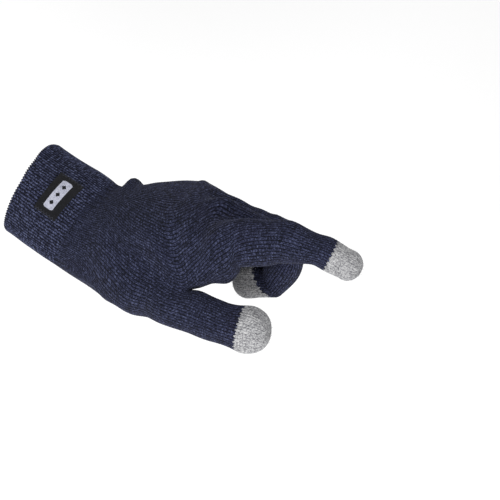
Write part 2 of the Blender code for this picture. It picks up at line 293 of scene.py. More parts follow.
SPLIT_REACH = 56.0  # the thumb parts from the hand this far from the wrist
THUMB_BASE = 21.0  # radius of the thumb's ball near the wrist
WEB_ANGLE, WEB_RADIUS = 26.0, 13.0
SPLIT_AT = 5.0  # how far past the thumb's first joint the crotch lies
THUMB_DEGREES = (-90, -150, 150, 90)  # where the thumb's own four columns lie

# The camera, in metres and degrees. These numbers were fitted outside this script to lines and an outline read off
# the photograph, in the same fit as the hand's turn and the bends of the joints.
CAMERA_AT = (0.309776, -0.429483, 0.761877)
CAMERA_BACK = (0.19532, -0.52781, 0.82660)
CAMERA_ROLL = 18.32


def camera_axes():
    """Right, top and back of the picture."""
    back = Vector(CAMERA_BACK).normalized()
    level = Vector((0, 0, 1)).cross(back).normalized()
    up = back.cross(level)
    a = math.radians(CAMERA_ROLL)
    return level * math.cos(a) + up * math.sin(a), up * math.cos(a) - level * math.sin(a), back


# How much fuller the worn knit is than the part: at a distance from the wrist, on the thumb's ball and on the
# little finger's side.
FULL_AT = (-14, -8, 0, 8, 16, 25, 35, 46, 56)
FULL_BALL = (0, 1, 4.5, 8.5, 13, 14.5, 8.5, 4, 2)
FULL_LITTLE = (1.5, 2.4, 2.2, 2.5, 1.5, 1, 0.5, 0, 0)
# The knit is moved along the picture's own up direction, rounded so that the shapes don't hang on the camera's last
# digits. It runs from the thumb's ball to the little finger's side, and up.
SIDEWAYS = unit(np.round(np.array(camera_axes()[1]), 3))


def fuller(ring, reach):
    middle = np.mean(ring, axis=0)
    ball = np.interp(reach, FULL_AT, FULL_BALL)
    little = np.interp(reach, FULL_AT, FULL_LITTLE)
    out = []
    for p in ring:
        facing = float(unit(p - middle) @ SIDEWAYS)
        out.append(p + SIDEWAYS * (little * max(0, facing) - ball * max(0, -facing)))
    return out


# The sections near the thumb's crotch, in the hand's own frame (along, across, up), by distance from the wrist:
# columns on the back of the hand, and on the palm, from the crotch towards the little finger. The points began as the
# places that this script's plain sections gave there, printed out, and were then moved one by one.
BACK = {
    25: ((26, -32, 4), (26, -26, 14)),
    35: ((36.5, -36.5, -5), (36.5, -32, 7), (36, -23, 17)),
    46: ((48, -39.5, -14.5), (48.5, -37, 0.5), (47.3, -28.5, 12.5)),
    56: ((60.5, -42.3, -23.4), (59, -38.5, -6), (57.5, -30, 9), (56.5, -18, 17.3)),
    64: ((68, -41, -20), (66.5, -38, -4), (65, -29, 10), (64.3, -15.5, 17.5)),
    72: ((75, -40, -15.5), (74, -37.3, -1.5), (73, -27.5, 10.8), (72.3, -12.5, 17.8)),
}
FRONT = {
    35: ((37, -31, -24),),
    46: ((49, -31.8, -26.5), (46.5, -24.5, -21)),
    56: ((60.7, -31.8, -28.3), (58, -23.5, -24.5), (56.5, -13, -21.5)),
    64: ((67, -31.5, -28), (65, -23.5, -26.5), (64, -13, -22.5)),
    72: ((74.5, -33, -26), (72.5, -25.5, -26), (72, -15, -22.5)),
}
EVEN = {25: 0.4, 35: 0.7, 46: 0.85, 56: 0.85, 64: 0.9, 72: 0.7}  # how evenly the columns share the back of the hand

# Where the section is raised, in millimetres, by cage column of the back: the fold at the wrist, and the knuckles.
RAISED = {8: {6: -0.8, 7: -0.8}, 16: {4: 1, 5: 3.5, 6: 5, 7: 5, 8: 2.5}, 25: {5: 0.5, 6: 0.8, 7: 1, 8: 0.5},
          35: {5: 0.5, 6: 1, 7: 1}, 46: {5: 0.5, 6: 1, 7: 1}, 56: {6: 0.6, 7: 0.6}, 72: {6: -0.5, 7: -1.7, 8: -1.5}}

# How much further the thumb's ball stands out, by ring column.
BALL = {8: {17: 1, 18: 2.5, 19: 3.8, 20: 3}, 16: {17: 3, 18: 6, 19: 6.5, 20: 5.6, 21: 1.5},
        25: {18: -0.4, 19: -1.2, 20: 0.6}, 35: {19: -0.4, 20: -0.9}}

EVEN_STEPS = 20  # points on the line from one column to the next


def evened(points, share):
    """The points moved along their own smooth line towards equal steps."""
    p = np.array([2 * points[0] - points[1]] + list(points) + [2 * points[-1] - points[-2]])
    line = []
    for i in range(1, len(points)):
        for t in np.arange(EVEN_STEPS) / EVEN_STEPS:
            line.append(0.5 * (2 * p[i] + (p[i + 1] - p[i - 1]) * t
                               + (2 * p[i - 1] - 5 * p[i] + 4 * p[i + 1] - p[i + 2]) * t ** 2
                               + (3 * p[i] - p[i - 1] - 3 * p[i + 1] + p[i + 2]) * t ** 3))
    line = np.array(line + [points[-1]])
    length = lengths(line)
    own = length[::EVEN_STEPS]
    wanted = mix(own, np.linspace(0, length[-1], len(points)), share)
    return [np.array([np.interp(w, length, line[:, i]) for i in range(3)]) for w in wanted]


def hand_ring(reaches):
    """A section round the hand, from the distance of each of its nine columns from the wrist."""
    back = [palm_point(reach, ring_angle(k, reach, True)) for k, reach in enumerate(reaches)]
    front = [palm_point(reach, ring_angle(k, reach, False)) for k, reach in enumerate(reaches)]
    return back + front[::-1]


def reshaped(ring, reach):
    """The ring with the sections above in place of its own points."""
    for k, p in enumerate(BACK.get(reach, ())):
        ring[k] = in_hand(*p)
    for k, p in enumerate(FRONT.get(reach, ())):
        ring[17 - k] = in_hand(*p)
    if reach in EVEN:
        ring[:9] = evened(ring[:9], EVEN[reach])
    if len(ring) > 18:
        for k, by in BALL.get(reach, {}).items():
            ring[k] = ring[k] - SIDEWAYS * by
    for k, by in RAISED.get(reach, {}).items():
        ring[k] = ring[k] + SIDEWAYS * by
    return ring


# The cage's rows on the cuff: distance from the rim, and how proud of the part's surface.
CUFF_INSIDE = ((38, -2.0), (26, -2.0), (13, -2.0), (4, -1.9), (0.7, -1.3))
CUFF_OUTSIDE = ((0.0, -0.3), (1.6, 0.35), (4.5, 0.2), (12, 0), (20, 0), (28, 0), (34, 0), (40, 0))
ARM_REACHES = (-8, 0, 8, 16, 25, 35, 46, SPLIT_REACH)


def build_arm():
    rings = [[vertex(cuff_point(x, a, proud)) for a in RING_ANGLES] for x, proud in CUFF_INSIDE + CUFF_OUTSIDE]
    web = [thumb_point(MCP + TD1 * SPLIT_AT, TD1, WEB_RADIUS, side * WEB_ANGLE) for side in (1, -1)]
    for reach in ARM_REACHES:
        t = max(0.0, reach / SPLIT_REACH)
        ring = hand_ring([reach] * 9)
        for k, crotch in ((0, web[0]), (17, web[1])):
            ring[k] = mix(ring[k], crotch, smooth((t - 0.35) / 0.65))
        centre = START + TD0 * mix(-14.0, THUMB_LENGTHS[0], t)
        radius = mix(THUMB_BASE, THUMB_HALVES[0] + 0.4, smooth(t * 1.1))
        turn = UNTWIST * smooth(spine(reach))
        for k in range(4):
            p = palm_point(reach, SIDE[k] + turn * (0.25 + 0.25 * k))
            q = thumb_point(centre, TD0, radius, THUMB_DEGREES[k])
            ring.append(mix(p, q, smooth((t - 0.05) / 0.6)))
        rings.append([vertex(p) for p in reshaped(fuller(ring, reach), round(reach))])
    regions["arm"] = rings


def finger_frame(name):
    k, p, e = (place(f"{name}_{part}") for part in ("knuckle", "bend", "end"))
    axis = axis_of(f"{name}_knuckle")
    d1, d2 = unit(p - k), unit(e - p)
    return {"k": k, "p": p, "e": e, "axis": axis, "d": (d1, d2, rotated(d2, axis, FINGERS[name]["end_bend"]))}


FRAMES = {name: finger_frame(name) for name in FINGERS}
HEX = (150, 90, 30, -30, -90, -150)
INDEX_HEX = (195, 120, 40, -30, -85, -130)  # where the index finger leaves the hand
INDEX_ROUND_BY = 36  # and this far past its knuckle it is as round as the others


def index_hex(along):
    return [mix(a, b, smooth(along / INDEX_ROUND_BY)) for a, b in zip(INDEX_HEX, HEX)]


def hexagon(centre, up, across, half, bottom=None, angles=HEX):
    """Six points round a finger, from the thumb side over the back; across points at the little finger."""
    low = half[1] if bottom is None else bottom
    out = []
    for degrees in angles:
        s, c = math.sin(math.radians(degrees)), math.cos(math.radians(degrees))
        out.append(centre + up * (s * (half[1] if s > 0 else low)) + across * (c * half[0]))
    return out


def shared_row(name_rings):
    """18 points of one ring round the hand from the four fingers' own rings."""
    top, bottom = [], []
    rings = [name_rings[n] for n in FINGERS]
    for i, r in enumerate(rings):
        left = r[0] if i == 0 else 0.5 * (r[0] + rings[i - 1][2])
        low = r[5] if i == 0 else 0.5 * (r[5] + rings[i - 1][3])
        top += [left, r[1]]
        bottom += [low, r[4]]
    top.append(rings[-1][2])
    bottom.append(rings[-1][3])
    return top + bottom[::-1]


INDEX_DEPTH = {0.0: 11.0, 6.0: 9.5, 12.5: 7.5}  # the web to the thumb hangs below the index finger
# Where its four nearest columns lie in the hand's frame, by distance past the knuckle.
SWING = {0.0: ((81.5, -39.3, -11), (80.5, -36, 2.8), (80.5, -32, -25), (80, -24, -27)),
         6.0: ((87.5, -38.7, -7.8), (87, -34, 6.5), (86.5, -31, -23.5), (86, -24, -26)),
         12.5: ((93.5, -38.2, -5), (93.3, -31.8, 7.6), (91.5, -33.8, -17.5), (92, -25.5, -22))}
KNUCKLES = {0.0: {6: 1.0, 7: 2.5, 8: 1.0}, 6.0: {7: 0.8}}  # raised, by column of the hand
KNUCKLE_BACK = (0, 0, 0, 0, 0.5, 1.5, 3.5, 5.5, 6.5)  # the knuckles lie this much nearer the wrist, by column
TOPS = {"index": 1.0, "middle": 0.9, "ring": 0.72, "little": 0.72}
HAND_REACHES = (64, 72)
KNUCKLE_ROWS = ((0.0, 1.08, 14.5), (6.0, 1.06, 13.5), (12.5, 1.0, 11.5))  # past the knuckle, growth, depth below


def build_hand():
    rings = [regions["arm"][-1][:18]]
    for reach in HAND_REACHES:
        share = (reach - SPLIT_REACH) / (HAND_REACHES[-1] - SPLIT_REACH)
        ring = hand_ring([reach - back * share for back in KNUCKLE_BACK])
        rings.append([vertex(p) for p in reshaped(ring, reach)])
    for d, grow, low in KNUCKLE_ROWS:
        own = {}
        for name, f in FRAMES.items():
            along = unit(HAND[:3, 0] + f["d"][0]) if d == 0 else f["d"][0]
            up = unit(np.cross(along, f["axis"]))
            half = FINGERS[name]["halves"][0]
            own[name] = hexagon(f["k"] + f["d"][0] * d, up, f["axis"],
                                (half[0] * grow * 1.05, half[1] * grow * TOPS[name]),
                                low + (INDEX_DEPTH[d] if name == "index" else 0),
                                index_hex(d) if name == "index" else HEX)
        row = shared_row(own)
        for k, p in zip((0, 1, 17, 16), SWING[d]):
            row[k] = in_hand(*p)
        for k, by in KNUCKLES.get(d, {}).items():
            row[k] = row[k] + SIDEWAYS * by
        rings.append([vertex(p) for p in row])
    regions["hand"] = rings


def bend_rings(centre, axis, d_in, d_out, half, grow):
    """Rings round a bent joint, as (middle of the ring, up, half width, half height above, half height below)."""
    theta = math.acos(max(-1, min(1, d_in @ d_out)))
    up_in, up_out = np.cross(d_in, axis), np.cross(d_out, axis)
    mid = unit(up_in + up_out)
    w, h = half
    if theta < math.radians(25):
        return [(centre - d_in * 7, up_in, w, h, h),
                (centre, mid, w * grow, h * grow, h / math.cos(theta / 2)),
                (centre + d_out * 7, up_out, w, h, h)]
    crease = centre - mid * (h / math.cos(theta / 2) * 0.93)
    reach = h * math.tan(theta / 2)
    way = unit(d_in + d_out)
    if theta > math.radians(80):
        stations, fans = ((-reach - 1.5, -reach - 5.0), (-reach * 0.5, -reach - 1.6)), (-0.42, 0.0, 0.42)
    else:
        stations, fans = ((-reach - 2.5, -reach - 3.5),), (-0.25, 0.25)
    ends = [(centre + d_in * top + up_in * h, centre + d_in * low - up_in * h) for top, low in stations]
    for share in fans:
        up = mid * math.cos(theta * share) + way * math.sin(theta * share)
        ends.append((centre + up * h * grow, crease + way * (share * 3.0)))
    ends += [(centre - d_out * top + up_out * h, centre - d_out * low - up_out * h) for top, low in stations[::-1]]
    rings = []
    for top, low in ends:
        tall = np.linalg.norm(top - low) / 2
        rings.append(((top + low) / 2, unit(top - low), w, tall, tall))
    return rings


# A fingertip's rings: share of the way to its end, and radius.
TIP_RINGS = ((0.0, 1.0), (0.32, 1.03), (0.58, 0.93 * 1.03), (0.8, 0.74), (0.945, 0.42), (1.0, 0.0))
THUMB_TIP_RINGS = ((0.26, 1.0), (0.48, 1.04), (0.68, 0.97), (0.85, 0.77), (0.96, 0.42), (1.0, 0.0))


def half_sizes(halves, t):
    return [mix(halves[0][i], halves[1][i], t) for i in (0, 1)]


def tip_rings(centre, along, up, reach, length, halves):
    out = []
    for share, radius in TIP_RINGS:
        d = mix(reach, length, share)
        w, h = half_sizes(halves, d / length)
        out.append((centre + along * d, up, w * radius, h * radius, h * radius))
    return out


# How much higher the middle finger's back stands, ring by ring from its middle joint to its tip.
MIDDLE_BACK = {2: -1.2, 3: -2.8, 4: -4.0, 5: -4.2, 6: -2.8, 7: 0.6, 8: 2.8, 9: 3.0, 10: 1.5, 11: 0.6, 12: 1.2, 13: 1.3,
               14: 1.3, 15: 1.2, 16: 0.9, 17: 0.4}
# How far the index finger's middle is raised and its underside hangs, by distance from its knuckle.
INDEX_LIFT = ((20, 45, 69, 92), (0, 1.2, 2.4, 2.4))
INDEX_HANG = ((14, 20, 29, 38, 50, 60), (6, 5.5, 5, 4, 2, 0))


def build_finger(name, number):
    f, own = FRAMES[name], FINGERS[name]
    hand = regions["hand"][-1]
    rings = [hand[2 * number:2 * number + 3] + hand[15 - 2 * number:18 - 2 * number]]
    d1, d2, d3 = f["d"]
    up1, up3 = np.cross(d1, f["axis"]), np.cross(d3, f["axis"])
    halves = own["halves"]
    specs = []
    for d in own["root_rings"]:
        t = d / own["root"]
        w, h = half_sizes(halves, t)
        specs.append((f["k"] + d1 * d, up1, w, h * mix(TOPS[name], 1.0, max(0.0, t - 0.4)), h))
    specs += bend_rings(f["p"], f["axis"], d1, d2, halves[1], 0.92 if name == "middle" else 1.03)
    specs += bend_rings(f["e"], f["axis"], d2, d3, halves[2], 1.02)
    specs += tip_rings(f["e"], d3, up3, own["tip_from"], own["tip"], halves[2:])
    for i, (centre, up, w, h, low) in enumerate(specs):
        angles = HEX
        if name == "middle":
            h += MIDDLE_BACK.get(i, 0.0)
        if name == "index":
            along = float((centre - f["k"]) @ d1)
            angles = index_hex(along)
            centre = centre + up1 * np.interp(along, *INDEX_LIFT)
            low = low + np.interp(along, *INDEX_HANG)
        rings.append([vertex(p) for p in hexagon(centre, up, f["axis"], (w, h), low, angles)])
    regions[name] = rings


THUMB_RINGS = (13, 21, 28)  # past its knuckle
THUMB_OUTER = 0.9  # how much fuller they are on the outer side


def build_thumb():
    arm = regions["arm"][-1]
    rings = [arm[17:] + arm[:1]]
    specs = [(MCP + TD1 * d, TD1, mix(*THUMB_HALVES[:2], d / THUMB_LENGTHS[1])) for d in THUMB_RINGS]
    specs.append((IP, unit(TD1 + TD2), THUMB_HALVES[1] * 1.02))
    for share, radius in THUMB_TIP_RINGS:
        specs.append((IP + TD2 * THUMB_LENGTHS[2] * share, TD2, mix(*THUMB_HALVES[1:], smooth(share * 2)) * radius))
    for centre, along, radius in specs:
        outer = THUMB_OUTER if along is TD1 else 0.0
        rings.append([vertex(thumb_point(centre, along, radius + (outer if abs(g) > 120 else 0), g))
                      for g in (-30, *THUMB_DEGREES, 30)])
    regions["thumb"] = rings


build_arm()
build_hand()
for number, name in enumerate(FINGERS):
    build_finger(name, number)
build_thumb()


def region_quads(name):
    rings = regions[name]
    n = len(rings[0])
    return [(rings[r][c], rings[r][(c + 1) % n], rings[r + 1][(c + 1) % n], rings[r + 1][c])
            for r in range(len(rings) - 1) for c in range(n)]


def solved(points, quads):
    """Control points whose subdivided surface passes through the given points."""
    n = len(points)
    edges, corner = {}, {}
    for q in quads:
        for i in range(4):
            a, b = q[i], q[(i + 1) % 4]
            edges[(min(a, b), max(a, b))] = edges.get((min(a, b), max(a, b)), 0) + 1
            corner.setdefault(a, []).append(q[(i + 2) % 4])
    near = {i: set() for i in range(n)}
    rim = {i: set() for i in range(n)}
    for (a, b), count in edges.items():
        near[a].add(b)
        near[b].add(a)
        if count == 1:
            rim[a].add(b)
            rim[b].add(a)
    m = np.zeros((n, n))
    for i in range(n):
        if rim[i]:
            m[i, i] = 4 / 6
            for j in rim[i]:
                m[i, j] += 1 / 6
            continue
        k = len(near[i])
        m[i, i] = k * k / (k * (k + 5))
        for j in near[i]:
            m[i, j] += 4 / (k * (k + 5))
        for j in corner[i]:
            m[i, j] += 1 / (k * (k + 5))
    return np.linalg.solve(m, points)


def subdivided():
    """Each region of the cage as arrays of points and normals, STEPS to a cell."""
    names = list(regions)
    quads = [quad for name in names for quad in region_quads(name)]
    points = solved(np.array(targets), quads)
    mesh = bpy.data.meshes.new("cage")
    mesh.from_pydata([tuple(p) for p in points], [], quads)
    uv = mesh.uv_layers.new(name="cell")
    for face in mesh.polygons:
        for loop, corner in zip(face.loop_indices, ((0, 0), (1, 0), (1, 1), (0, 1))):
            uv.data[loop].uv = (corner[0] + 2 * face.index, corner[1])
    cage = add_object("cage", mesh)
    modifier = cage.modifiers.new("subdivide", "SUBSURF")
    modifier.levels = modifier.render_levels = LEVELS
    modifier.uv_smooth = "NONE"
    modifier.use_limit_surface = True
    graph = bpy.context.evaluated_depsgraph_get()
    fine = cage.evaluated_get(graph).to_mesh()
    co = np.zeros(len(fine.vertices) * 3, np.float32)
    fine.vertices.foreach_get("co", co)
    normal = np.zeros(len(fine.vertices) * 3, np.float32)
    fine.vertex_normals.foreach_get("vector", normal)
    loops = np.zeros(len(fine.loops), np.int32)
    fine.loops.foreach_get("vertex_index", loops)
    cell = np.zeros(len(fine.loops) * 2, np.float32)
    fine.uv_layers["cell"].data.foreach_get("uv", cell)
    co, normal, cell = co.reshape(-1, 3).astype(float), -normal.reshape(-1, 3).astype(float), cell.reshape(-1, 2)
    face = np.floor(cell[:, 0] / 2 + 0.25).astype(int)
    i = np.rint((cell[:, 0] - 2 * face) * STEPS).astype(int)
    j = np.rint(cell[:, 1] * STEPS).astype(int)
    out = {}
    first = 0
    for name in names:
        rings = regions[name]
        rows, columns = len(rings) - 1, len(rings[0])
        grid = np.zeros((rows * STEPS + 1, columns * STEPS + 1), int)
        mine = (face >= first) & (face < first + rows * columns)
        f = face[mine] - first
        grid[(f // columns) * STEPS + j[mine], (f % columns) * STEPS + i[mine]] = loops[mine]
        out[name] = (co[grid], normal[grid])
        first += rows * columns
    bpy.data.objects.remove(cage)
    return out


SKIN = subdivided()


# --- from the surface to the knit ---

def between(grid, rows, columns):
    """The grid's values at fractional rows and columns."""
    r0 = np.minimum(np.floor(rows).astype(int), grid.shape[0] - 2)
    c0 = np.minimum(np.floor(columns).astype(int), grid.shape[1] - 2)
    fr, fc = (rows - r0)[:, None, None], (columns - c0)[None, :, None]
    a, b = grid[r0][:, c0], grid[r0][:, c0 + 1]
    c, d = grid[r0 + 1][:, c0], grid[r0 + 1][:, c0 + 1]
    return (a * (1 - fc) + b * fc) * (1 - fr) + (c * (1 - fc) + d * fc) * fr


def lumps(p, size, seed):
    """Slow, smooth unevenness, from -1 to 1, as a sum of waves."""
    rng = np.random.default_rng(seed)
    total = np.zeros(p.shape[:-1])
    for _ in range(7):
        way = rng.normal(size=3)
        way /= np.linalg.norm(way)
        total += np.sin(p @ way * (2 * math.pi / (size * rng.uniform(0.7, 1.5))) + rng.uniform(0, 6.3))
    return total / 4


def unevenness(p):
    """The worn knit's lumps, in millimetres."""
    return 0.22 * lumps(p, 17.0, 3)


COURSES_BEFORE = {"arm": 0.0}


def wale_edges(name):
    """Where each cage column of a region begins, in columns of stitches."""
    if name in FINGERS:
        first = 2 * list(FINGERS).index(name)
        counts = HAND_WALES[first:first + 2] + (WALES,) + HAND_WALES[15 - first:17 - first] + (WALES,)
    else:
        counts = {"arm": ARM_WALES, "hand": HAND_WALES, "thumb": THUMB_WALES}[name]
    return np.concatenate([[0], np.cumsum(counts)])


def row_steps(name):
    """Mean distances between the rows of a region's surface."""
    return np.linalg.norm(np.diff(SKIN[name][0][:, :-1], axis=0), axis=2).mean(1)


def knit_grid(name):
    """A region's points, normals and stitch coordinates on the mesh's own rows and columns."""
    points, normals = SKIN[name]
    along = np.concatenate([[0], np.cumsum(row_steps(name))])
    count = max(2, int(round(along[-1] / ROW_STEP)))
    rows = np.interp(np.linspace(0, along[-1], count + 1), along, np.arange(len(along)))
    edges = wale_edges(name)
    columns = np.interp(np.arange(edges[-1] * SAMPLES + 1) / SAMPLES, edges, np.arange(len(edges)) * STEPS)
    p, n = between(points, rows, columns), between(normals, rows, columns)
    n /= np.maximum(np.linalg.norm(n, axis=2, keepdims=True), 1e-9)
    wale = np.arange(columns.size) / SAMPLES
    course = COURSES_BEFORE[name] + np.linspace(0, along[-1], count + 1) / COURSE
    return {"p": p, "n": n, "wale": wale, "course": course, "rows": rows / STEPS, "name": name}


def order_courses():
    """Each region's stitches carry on from the region that it grows out of."""
    for child, parent in (("hand", "arm"), ("thumb", "arm"), ("index", "hand"), ("middle", "hand"),
                          ("ring", "hand"), ("little", "hand")):
        COURSES_BEFORE[child] = COURSES_BEFORE[parent] + row_steps(parent).sum() / COURSE


order_courses()
GRIDS = {name: knit_grid(name) for name in regions}


def wale_profile(wale):
    """Height of a column of stitches, from 0 in the groove to 1 on top."""
    return np.abs(np.sin(math.pi * wale)) ** 0.8


RIB_TO, RIB_FADE = 56, 10  # where the cuff's ribs end, and over what length
PLAIN_DEPTH, SCALLOP, RIB_DEPTH, RIB_MIDDLE = 0.36, 0.05, 0.8, 0.6
RIM_TEETH, RIM_TEETH_TO = 0.6, 3  # the ribs jut out at the rim


def relief(grid):
    """How far each point stands out from the smooth surface, in millimetres."""
    ridge = wale_profile(grid["wale"])[None, :]
    ribbed = np.clip((RIB_TO - grid["p"][..., 0]) / RIB_FADE, 0, 1) if grid["name"] == "arm" else 0.0
    rib = wale_profile(grid["wale"] * CUFF_RIB)[None, :]
    scallop = SCALLOP * np.cos(2 * math.pi * grid["course"])[:, None]
    plain = PLAIN_DEPTH * (ridge - 0.5) + scallop * ridge
    ribs = RIB_DEPTH * (rib - RIB_MIDDLE) + scallop * rib
    return plain * (1 - ribbed) + ribbed * ribs + unevenness(grid["p"])


def surface(grid):
    out = grid["p"] + grid["n"] * relief(grid)[..., None]
    if grid["name"] == "arm":
        teeth = RIM_TEETH * (wale_profile(grid["wale"] * CUFF_RIB)[None, :] - RIB_MIDDLE)
        out[..., 0] -= teeth * np.clip((RIM_TEETH_TO - grid["p"][..., 0]) / RIM_TEETH_TO, 0, 1)
    if grid["name"] not in ("arm", "hand"):
        out[-1] = grid["p"][-1]
    out[:, -1] = out[:, 0]
    return out


def grid_normals(points):
    """Smooth normals of a closed strip of points."""
    right = np.roll(points[:, :-1], -1, axis=1) - np.roll(points[:, :-1], 1, axis=1)
    right = np.concatenate([right, right[:, :1]], 1)
    up = np.gradient(points, axis=0)
    n = np.cross(up, right)
    return n / np.maximum(np.linalg.norm(n, axis=2, keepdims=True), 1e-12)


FINAL = {name: surface(grid) for name, grid in GRIDS.items()}


def borders():
    """Pairs of (region, row, columns) that are one line of the knit, the later region first."""
    at = {name: wale_edges(name) * SAMPLES for name in regions}
    a, h, t = at["arm"], at["hand"], at["thumb"]
    run = lambda edges, first, last: np.arange(edges[first], edges[last] + 1)
    pairs = [(("hand", 0, run(h, 0, 17)), ("arm", -1, run(a, 0, 17))),
             (("thumb", 0, run(t, 0, 5)), ("arm", -1, run(a, 17, 22))),
             (("thumb", 0, run(t, 5, 6)), ("hand", 0, run(h, 17, 18)[::-1]))]
    for i, name in enumerate(FINGERS):
        e = at[name]
        pairs.append(((name, 0, run(e, 0, 2)), ("hand", -1, run(h, 2 * i, 2 * i + 2))))
        pairs.append(((name, 0, run(e, 3, 5)), ("hand", -1, run(h, 15 - 2 * i, 17 - 2 * i))))
        if i == 0:
            pairs.append(((name, 0, run(e, 5, 6)), ("hand", -1, run(h, 17, 18))))
        else:
            before = list(FINGERS)[i - 1]
            pairs.append(((name, 0, run(e, 5, 6)), (before, 0, run(at[before], 2, 3)[::-1])))
        if i == 3:
            pairs.append(((name, 0, run(e, 2, 3)), ("hand", -1, run(h, 8, 9))))
    return pairs


def share_borders():
    """Where regions meet, their edge points are the same."""
    for (child, row, columns), (parent, last, theirs) in borders():
        FINAL[child][row, columns] = FINAL[parent][last, theirs]
    for name, points in FINAL.items():
        points[0, -1] = points[0, 0]


def share_normals():
    """Where regions meet, the knit turns smoothly from one to the other."""
    for (child, row, columns), (parent, last, theirs) in borders():
        both = NORMALS[child][row, columns] + NORMALS[parent][last, theirs]
        both /= np.maximum(np.linalg.norm(both, axis=1, keepdims=True), 1e-9)
        NORMALS[child][row, columns] = both
        NORMALS[parent][last, theirs] = both


share_borders()
NORMALS = {name: grid_normals(points) for name, points in FINAL.items()}
share_normals()


# --- materials ---

class Value:
    """A node's output that takes part in arithmetic."""

    def __init__(self, tree, socket):
        self.tree, self.socket = tree, socket

    def math(self, operation, *values):
        node = self.tree.nodes.new("ShaderNodeMath")
        node.operation = operation
        for socket, value in zip(node.inputs, values or (self,)):
            put(socket, value)
        return Value(self.tree, node.outputs[0])

    __abs__ = lambda self: self.math("ABSOLUTE")
    __add__ = lambda self, other: self.math("ADD", self, other)
    __sub__ = lambda self, other: self.math("SUBTRACT", self, other)
    __rsub__ = lambda self, other: self.math("SUBTRACT", other, self)
    __mul__ = lambda self, other: self.math("MULTIPLY", self, other)
    __truediv__ = lambda self, other: self.math("DIVIDE", self, other)
    __pow__ = lambda self, other: self.math("POWER", self, other)
    positive = lambda self: self.math("MAXIMUM", self, 0.0)
    floor = lambda self: self.math("FLOOR")
    fract = lambda self: self.math("FRACT")
    sine = lambda self: self.math("SINE")


def put(socket, value):
    if isinstance(value, Value):
        value.tree.links.new(value.socket, socket)
    else:
        socket.default_value = value


class Nodes:
    """Short names for building a material's node tree."""

    def __init__(self, name, roughness, sheen=0.0):
        self.material = bpy.data.materials.new(name)
        self.material.use_nodes = True
        self.tree = self.material.node_tree
        self.shader = self.tree.nodes["Principled BSDF"]
        self.shader.inputs["Roughness"].default_value = roughness
        self.shader.inputs["Sheen Weight"].default_value = sheen
        self.shader.inputs["Sheen Roughness"].default_value = 0.6
        self.shader.inputs["Specular IOR Level"].default_value = 0.08

    def stitch(self):
        attribute = self.tree.nodes.new("ShaderNodeAttribute")
        attribute.attribute_name = "stitch"
        split = self.tree.nodes.new("ShaderNodeSeparateXYZ")
        self.tree.links.new(attribute.outputs["Vector"], split.inputs[0])
        return Value(self.tree, split.outputs[0]), Value(self.tree, split.outputs[1])

    def vector(self, x, y):
        node = self.tree.nodes.new("ShaderNodeCombineXYZ")
        put(node.inputs[0], x)
        put(node.inputs[1], y)
        return Value(self.tree, node.outputs[0])

    def random(self, vector):
        node = self.tree.nodes.new("ShaderNodeTexWhiteNoise")
        put(node.inputs["Vector"], vector)
        return Value(self.tree, node.outputs["Value"])

    def noise(self, vector, scale, detail=2.0):
        node = self.tree.nodes.new("ShaderNodeTexNoise")
        put(node.inputs["Vector"], vector)
        node.inputs["Scale"].default_value = scale
        node.inputs["Detail"].default_value = detail
        return Value(self.tree, node.outputs[0])

    def colour(self, shade, stops):
        node = self.tree.nodes.new("ShaderNodeValToRGB")
        put(node.inputs[0], shade)
        elements = node.color_ramp.elements
        while len(elements) < len(stops):
            elements.new(0.5)
        for element, (at, colour) in zip(elements, stops):
            element.position = at
            element.color = (*linear(colour), 1)
        self.tree.links.new(node.outputs[0], self.shader.inputs["Base Color"])

    def bump(self, height, strength, distance):
        node = self.tree.nodes.new("ShaderNodeBump")
        node.inputs["Strength"].default_value = strength
        node.inputs["Distance"].default_value = distance
        put(node.inputs["Height"], height)
        self.tree.links.new(node.outputs[0], self.shader.inputs["Normal"])


def linear(colour):
    return [(v / 255 / 12.92) if v / 255 <= 0.04045 else ((v / 255 + 0.055) / 1.055) ** 2.4 for v in colour]


STITCH_SLANT = 0.55  # how far a leg of the V runs along the knit
STITCH_WOBBLE = 0.35


def knit_material(name, stops, speckle, groove, base, streak, rib=1.0, cells=(3.0, 3.0)):
    """Plain knit: columns of V stitches in a yarn of mixed shades, with painted shade in the grooves between the
    columns and a painted highlight on the stitches' raised legs.
    """
    n = Nodes(name, 0.95, 0.04)
    u, v = n.stitch()
    u = u * rib
    across = abs(u.fract() * 2.0 - 1.0)
    leg = 1.0 - abs(across * 2.0 - 1.0)
    phase = v + n.noise(n.vector(u, v), 0.9) * STITCH_WOBBLE + across * STITCH_SLANT
    stroke = (phase.fract() * math.pi).sine()
    height = (stroke * 0.55 + 0.45) * leg.positive() ** 0.6
    each = n.random(n.vector((u * cells[0]).floor(), (phase * cells[1]).floor()))
    strand = n.noise(n.vector(u * streak[0], phase * streak[1]), 1.0, 3.0)
    patch = n.noise(n.vector(u * 0.55, v * 0.35), 1.0)
    mixed = (each - 0.5) * speckle + (strand - 0.5) * (speckle * 0.8) + (patch - 0.5) * (speckle * 0.6)
    ridge = (1.0 - across * across).positive() ** 0.7
    # Painted light: the grooves between the columns are darkened as painted shade, by the groove number, and the raised
    # legs are lightened by their height as a painted highlight; the rest is the yarn's own speckle.
    n.colour(ridge * groove + height * 0.3 + base + mixed, stops)
    n.bump(height, 0.55, 0.0005)
    return n.material


# The ramps run from dark to light; their dark ends serve both the yarn's darker fibres and the painted shade in the
# grooves.
NAVY_STOPS = ((0.0, (5, 6, 11)), (0.35, (17, 19, 33)), (0.7, (40, 43, 65)), (1.0, (82, 88, 116)))
GREY_STOPS = ((0.0, (66, 66, 70)), (0.35, (122, 122, 125)), (0.7, (162, 162, 163)), (1.0, (192, 192, 192)))
